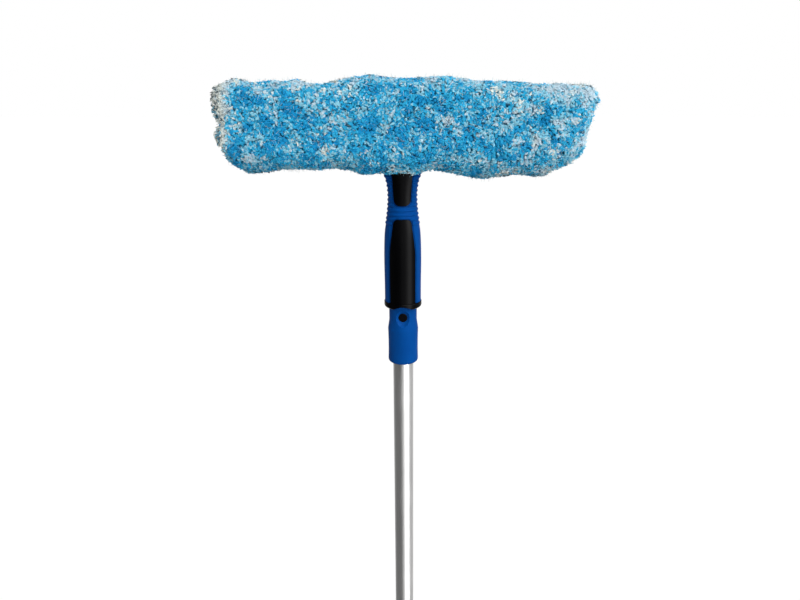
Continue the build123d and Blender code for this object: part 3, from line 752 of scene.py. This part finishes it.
def make_tufts():
    """The pile's tufts, one piece for each yarn on each quarter of the sleeve's girth."""
    points, normals = scatter(tuft_tries, tuft_spacing)
    outward = smooth_normals(points, normals)
    lines = tuft_lines(points, normals, outward)
    count = len(points)
    share = np.linspace(0, 1, tuft_rings)
    profile = np.sin(math.pi * (tuft_profile_start_share + tuft_profile_span_share * share))
    profile **= tuft_profile_power
    profile[-1] = tuft_tip_share
    radii = tuft_radius * generator.uniform(*tuft_width_shares, count)[:, None] * profile[None]
    kinds = yarn_kinds(points)
    depth_share = (1 - share) ** root_shade_power
    in_front = points[:, 1] < 0
    above = points[:, 2] > bar_middle
    sides = {
        "front_upper": in_front & above,
        "front_lower": in_front & ~above,
        "back_upper": ~in_front & above,
        "back_lower": ~in_front & ~above,
    }
    pieces = []
    for kind, (yarn_name, (colour, _)) in enumerate(yarns.items()):
        for side_name, on_side in sides.items():
            chosen = (kinds == kind) & on_side
            chance = generator.random((chosen.sum(), 1)) - 0.5
            tint = np.array(colour) * (1 + yarn_spread_share * chance)
            if yarn_name == "white":
                tint = tint + creaminess(points[chosen])[:, None] * (np.array(cream) - tint)
            # Painted shade: the colour fades to deep blue towards each root, down in the gaps between
            # tufts
            root_shading = depth_share[None, :, None] * (np.array(root_shade_blue) - tint[:, None])
            colours = tint[:, None] + root_shading
            pieces.append(
                strand_mesh(
                    f"pile_{yarn_name}_{side_name}",
                    lines[chosen],
                    radii[chosen],
                    colours,
                    outward[chosen],
                    tuft_sides,
                    yarn_material,
                )
            )
    return pieces


def make_fibres():
    """Fine loose fibres that blur the sleeve's outline."""
    points, normals = scatter(fibre_count, fibre_spacing)
    count = len(points)
    outward = smooth_normals(points, normals)
    share = np.linspace(0, 1, fibre_rings)
    drift = unit(generator.normal(size=(count, 3)))
    bend = unit(generator.normal(size=(count, 3)))
    length = generator.uniform(*fibre_lengths, count)
    roots = shifted_roots(points, normals, outward, fibre_root_depth)
    heading = unit(fibre_outward_share * outward + fibre_drift_share * drift)
    lines = roots[:, None] + share[None, :, None] * heading[:, None] * length[:, None, None]
    lines = lines + (share**2)[None, :, None] * bend[:, None] * fibre_bend
    width = generator.uniform(*fibre_width_shares, count)
    radii = fibre_radius * width[:, None] * np.linspace(1, fibre_tip_share, fibre_rings)[None]
    tint = np.array(fibre_tints)
    colours = tint[generator.integers(0, len(tint), count)][:, None] * np.ones((1, fibre_rings, 1))
    return strand_mesh("pile_fibres", lines, radii, colours, outward, fibre_sides, yarn_material)


def make_backing():
    """The sleeve's ground under the pile, drawn in from the CAD sleeve's surface."""
    copy = bpy.data.objects.new("sleeve_ground", nodes["scrub_sleeve"].data.copy())
    bpy.context.scene.collection.objects.link(copy)
    remesh = copy.modifiers.new("remesh", "REMESH")
    remesh.mode = "VOXEL"
    remesh.voxel_size = backing_voxel
    graph = bpy.context.evaluated_depsgraph_get()
    mesh = bpy.data.meshes.new_from_object(copy.evaluated_get(graph))
    bpy.data.objects.remove(copy)
    places = np.empty(len(mesh.vertices) * 3)
    directions = np.empty(len(mesh.vertices) * 3)
    mesh.vertices.foreach_get("co", places)
    mesh.vertices.foreach_get("normal", directions)
    places, directions = places.reshape(-1, 3), directions.reshape(-1, 3)
    facing = climb(outwardness(places, directions), *backing_slope)
    lumps = (lattice_noise(places, *backing_cells) - 0.5) * backing_lump_height
    moved = shifted_roots(places, directions, directions * facing[:, None], 0)
    moved = places + (moved - places) * facing[:, None]
    moved -= directions * ((backing_depth + lumps) * facing)[:, None]
    mesh.vertices.foreach_set("co", moved.ravel())
    mesh.materials.clear()
    mesh.materials.append(backing)
    mesh.shade_smooth()
    piece = bpy.data.objects.new("sleeve_backing", mesh)
    bpy.context.scene.collection.objects.link(piece)
    return piece


sleeve_backing = make_backing()
for piece in (sleeve_backing, *make_tufts(), make_fibres()):
    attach(piece, "tool")
    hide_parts("scrub_sleeve")


# Studio

def azimuth(tree, place):
    """The direction of a place round the object, as a share of a full turn."""
    parts = tree.nodes.new("ShaderNodeSeparateXYZ")
    tree.links.new(place, parts.inputs["Vector"])
    front = tree.nodes.new("ShaderNodeMath")
    front.operation = "MULTIPLY"
    front.inputs[1].default_value = -1.0
    tree.links.new(parts.outputs["Y"], front.inputs[0])
    angle = tree.nodes.new("ShaderNodeMath")
    angle.operation = "ARCTAN2"
    tree.links.new(parts.outputs["X"], angle.inputs[0])
    tree.links.new(front.outputs["Value"], angle.inputs[1])
    return spread(tree, angle.outputs["Value"], 0.0, 1.0, -math.pi, math.pi)


def ring_light(tree, place):
    """The studio's brightness in the direction of a place."""
    ramp = tree.nodes.new("ShaderNodeValToRGB")
    ramp.color_ramp.interpolation = "EASE"
    stops = ramp.color_ramp.elements
    first_count = len(stops)
    for index, (degrees, level) in enumerate(studio_ring):
        position = degrees / 360 + 0.5
        stop = stops[index] if index < first_count else stops.new(position)
        stop.position = position
        stop.color = (level, level, level, 1)
    tree.links.new(azimuth(tree, place), ramp.inputs["Fac"])
    return ramp.outputs["Color"]


def choose(tree, condition, no_shader, yes_shader):
    """One shader where a condition is 0 and another where it is 1."""
    mix = tree.nodes.new("ShaderNodeMixShader")
    tree.links.new(condition, mix.inputs[0])
    tree.links.new(no_shader, mix.inputs[1])
    tree.links.new(yes_shader, mix.inputs[2])
    return mix.outputs["Shader"]


def light_world():
    """White behind the object, the studio's ring in reflections, and an even level on the object."""
    world = bpy.data.worlds.new("studio")
    world.use_nodes = True
    tree = world.node_tree
    tree.nodes.clear()
    path = tree.nodes.new("ShaderNodeLightPath")
    place = tree.nodes.new("ShaderNodeTexCoord")
    even = tree.nodes.new("ShaderNodeBackground")
    even.inputs["Color"].default_value = (1, 1, 1, 1)
    even.inputs["Strength"].default_value = room_level
    ring = tree.nodes.new("ShaderNodeBackground")
    ring.inputs["Strength"].default_value = mirror_level
    tree.links.new(ring_light(tree, place.outputs["Generated"]), ring.inputs["Color"])
    white = tree.nodes.new("ShaderNodeBackground")
    white.inputs["Color"].default_value = (1, 1, 1, 1)
    output = tree.nodes.new("ShaderNodeOutputWorld")
    seen = choose(
        tree, path.outputs["Is Glossy Ray"], even.outputs["Background"], ring.outputs["Background"]
    )
    seen = choose(tree, path.outputs["Is Transmission Ray"], seen, white.outputs["Background"])
    seen = choose(tree, path.outputs["Is Camera Ray"], seen, white.outputs["Background"])
    tree.links.new(seen, output.inputs["Surface"])
    bpy.context.scene.world = world


def lay_floor():
    """A wide pale floor that shows white to the camera and keeps a soft shadow."""
    height = cad_low.z - floor_gap
    mesh = bpy.data.meshes.new("floor")
    corners = [
        (x * floor_reach, y * floor_reach, height) for x, y in ((-1, -1), (1, -1), (1, 1), (-1, 1))
    ]
    mesh.from_pydata(corners, [], [(0, 1, 2, 3)])
    floor = bpy.data.objects.new("floor", mesh)
    bpy.context.scene.collection.objects.link(floor)
    material = bpy.data.materials.new("floor_paper")
    material.use_nodes = True
    tree = material.node_tree
    tree.nodes.clear()
    path = tree.nodes.new("ShaderNodeLightPath")
    place = tree.nodes.new("ShaderNodeTexCoord")
    paper = tree.nodes.new("ShaderNodeBsdfDiffuse")
    paper.inputs["Color"].default_value = (floor_albedo, floor_albedo, floor_albedo, 1)
    glow = tree.nodes.new("ShaderNodeEmission")
    glow.inputs["Strength"].default_value = floor_glow
    ring = tree.nodes.new("ShaderNodeEmission")
    ring.inputs["Strength"].default_value = mirror_level
    tree.links.new(ring_light(tree, place.outputs["Object"]), ring.inputs["Color"])
    shown = tree.nodes.new("ShaderNodeMixShader")
    shown.inputs[0].default_value = 1 - floor_share
    tree.links.new(paper.outputs["BSDF"], shown.inputs[1])
    tree.links.new(glow.outputs["Emission"], shown.inputs[2])
    output = tree.nodes.new("ShaderNodeOutputMaterial")
    seen = choose(tree, path.outputs["Is Glossy Ray"], paper.outputs["BSDF"], ring.outputs["Emission"])
    seen = choose(tree, path.outputs["Is Camera Ray"], seen, shown.outputs["Shader"])
    tree.links.new(seen, output.inputs["Surface"])
    mesh.materials.append(material)


def add_lamp(name, direction, strength, spread_angle):
    """A broad, distant lamp that shines from a direction."""
    lamp = bpy.data.lights.new(name, "SUN")
    lamp.energy = strength
    lamp.angle = spread_angle
    holder = bpy.data.objects.new(name, lamp)
    holder.rotation_euler = Vector(direction).to_track_quat("Z", "Y").to_euler()
    bpy.context.scene.collection.objects.link(holder)


def place_camera():
    """The photograph's viewpoint."""
    lens = bpy.data.cameras.new("camera")
    lens.lens = camera_lens
    lens.shift_x = camera_shift
    camera = bpy.data.objects.new("camera", lens)
    camera.location = camera_place
    camera.rotation_euler = (camera_tilt, 0, 0)
    bpy.context.scene.collection.objects.link(camera)
    bpy.context.scene.camera = camera


light_world()
lay_floor()
add_lamp("key_lamp", key_direction, key_strength, key_spread)
add_lamp("fill_lamp", fill_direction, fill_strength, fill_spread)
place_camera()
bpy.context.scene.view_settings.view_transform = "Standard"
